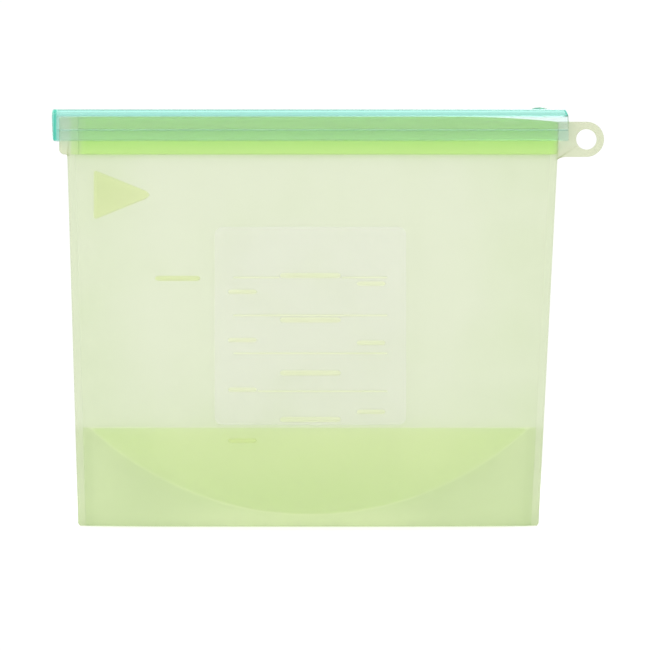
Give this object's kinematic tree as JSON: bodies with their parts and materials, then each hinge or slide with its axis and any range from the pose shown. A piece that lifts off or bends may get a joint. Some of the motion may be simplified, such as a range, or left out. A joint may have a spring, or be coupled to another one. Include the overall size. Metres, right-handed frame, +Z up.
{
  "type": "reusable silicone storage bag with slide clip",
  "caption": "Flat translucent green silicone food bag with a folded stand-up base, a fill scale, a hanging tab and a clear slide clip that closes its mouth",
  "frame": {"origin": "on the table under the middle of the whole object, clip and tab included", "axes": "+X along the rim towards the hanging tab, -Y the front with the scale, +Z up"},
  "size_m": [0.2418, 0.0164, 0.1833],
  "materials": {
    "silicone_sheet": "translucent pale green silicone with a fine matt moulded skin",
    "thick_silicone_rim": "thicker silicone, so a deeper green, matt",
    "silicone_gusset": "translucent green silicone seen through several layers",
    "silicone_marks": "raised moulded silicone marks, slightly deeper green than the wall",
    "frosted_silicone": "finely etched, whiter writing patch",
    "clear_clip_plastic": "clear aqua plastic, polished"
  },
  "bodies": {
    "bag_seams": {"left_side_seam": "silicone_sheet", "right_side_seam": "silicone_sheet", "left_rim_flange": "silicone_sheet", "hang_tab": "silicone_sheet"},
    "front_wall": {"front_panel": "silicone_sheet", "front_rim": "thick_silicone_rim", "arrow_mark": "silicone_marks", "writing_panel": "frosted_silicone", "fill_line_1_left": "silicone_marks", "fill_line_1_right": "silicone_marks", "fill_line_2": "silicone_marks", "fill_line_3": "silicone_marks", "fill_line_4": "silicone_marks", "centre_label_1": "silicone_marks", "centre_label_2": "silicone_marks", "centre_label_3": "silicone_marks", "centre_label_4": "silicone_marks", "left_label_1": "silicone_marks", "left_label_2": "silicone_marks", "left_label_3": "silicone_marks", "right_label_1": "silicone_marks", "right_label_2": "silicone_marks", "right_label_3": "silicone_marks", "unit_label": "silicone_marks"},
    "back_wall": {"back_panel": "silicone_sheet", "back_rim": "thick_silicone_rim"},
    "front_foot": {"front_skirt": "silicone_sheet", "gusset_front_half": "silicone_gusset", "foot_label": "silicone_marks"},
    "back_foot": {"back_skirt": "silicone_sheet", "gusset_back_half": "silicone_gusset"},
    "slide_clip": {"clip_channel": "clear_clip_plastic", "clip_end_wall": "clear_clip_plastic", "clip_thumb_bump": "clear_clip_plastic"}
  },
  "joints": [
    {"name": "clip_slide", "type": "slide", "parent": "bag_seams", "child": "slide_clip", "axis": [-1, 0, 0], "range_m": [0, 0.226]},
    {"name": "mouth_front", "type": "hinge", "parent": "bag_seams", "child": "front_wall", "pos_m": [-0.0078, -0.004, 0.043], "axis": [1, 0, 0], "range_deg": [0, 12], "stiffness_Nm_per_rad": 0.2, "deforming": ["front_rim"]},
    {"name": "mouth_back", "type": "hinge", "parent": "bag_seams", "child": "back_wall", "pos_m": [-0.0078, 0.004, 0.043], "axis": [-1, 0, 0], "range_deg": [0, 12], "stiffness_Nm_per_rad": 0.2, "deforming": ["back_rim"]},
    {"name": "base_front", "type": "hinge", "parent": "bag_seams", "child": "front_foot", "pos_m": [-0.0078, -0.004, 0.043], "axis": [-1, 0, 0], "range_deg": [0, 20], "stiffness_Nm_per_rad": 0.1},
    {"name": "base_back", "type": "hinge", "parent": "bag_seams", "child": "back_foot", "pos_m": [-0.0078, 0.004, 0.043], "axis": [1, 0, 0], "range_deg": [0, 20], "stiffness_Nm_per_rad": 0.1}
  ],
  "couplings": [
    {"joint": "mouth_front", "follows": "clip_slide", "rad_per_m": 0.926},
    {"joint": "mouth_back", "follows": "clip_slide", "rad_per_m": 0.926},
    {"joint": "base_back", "follows": "base_front", "ratio": 1}
  ]
}
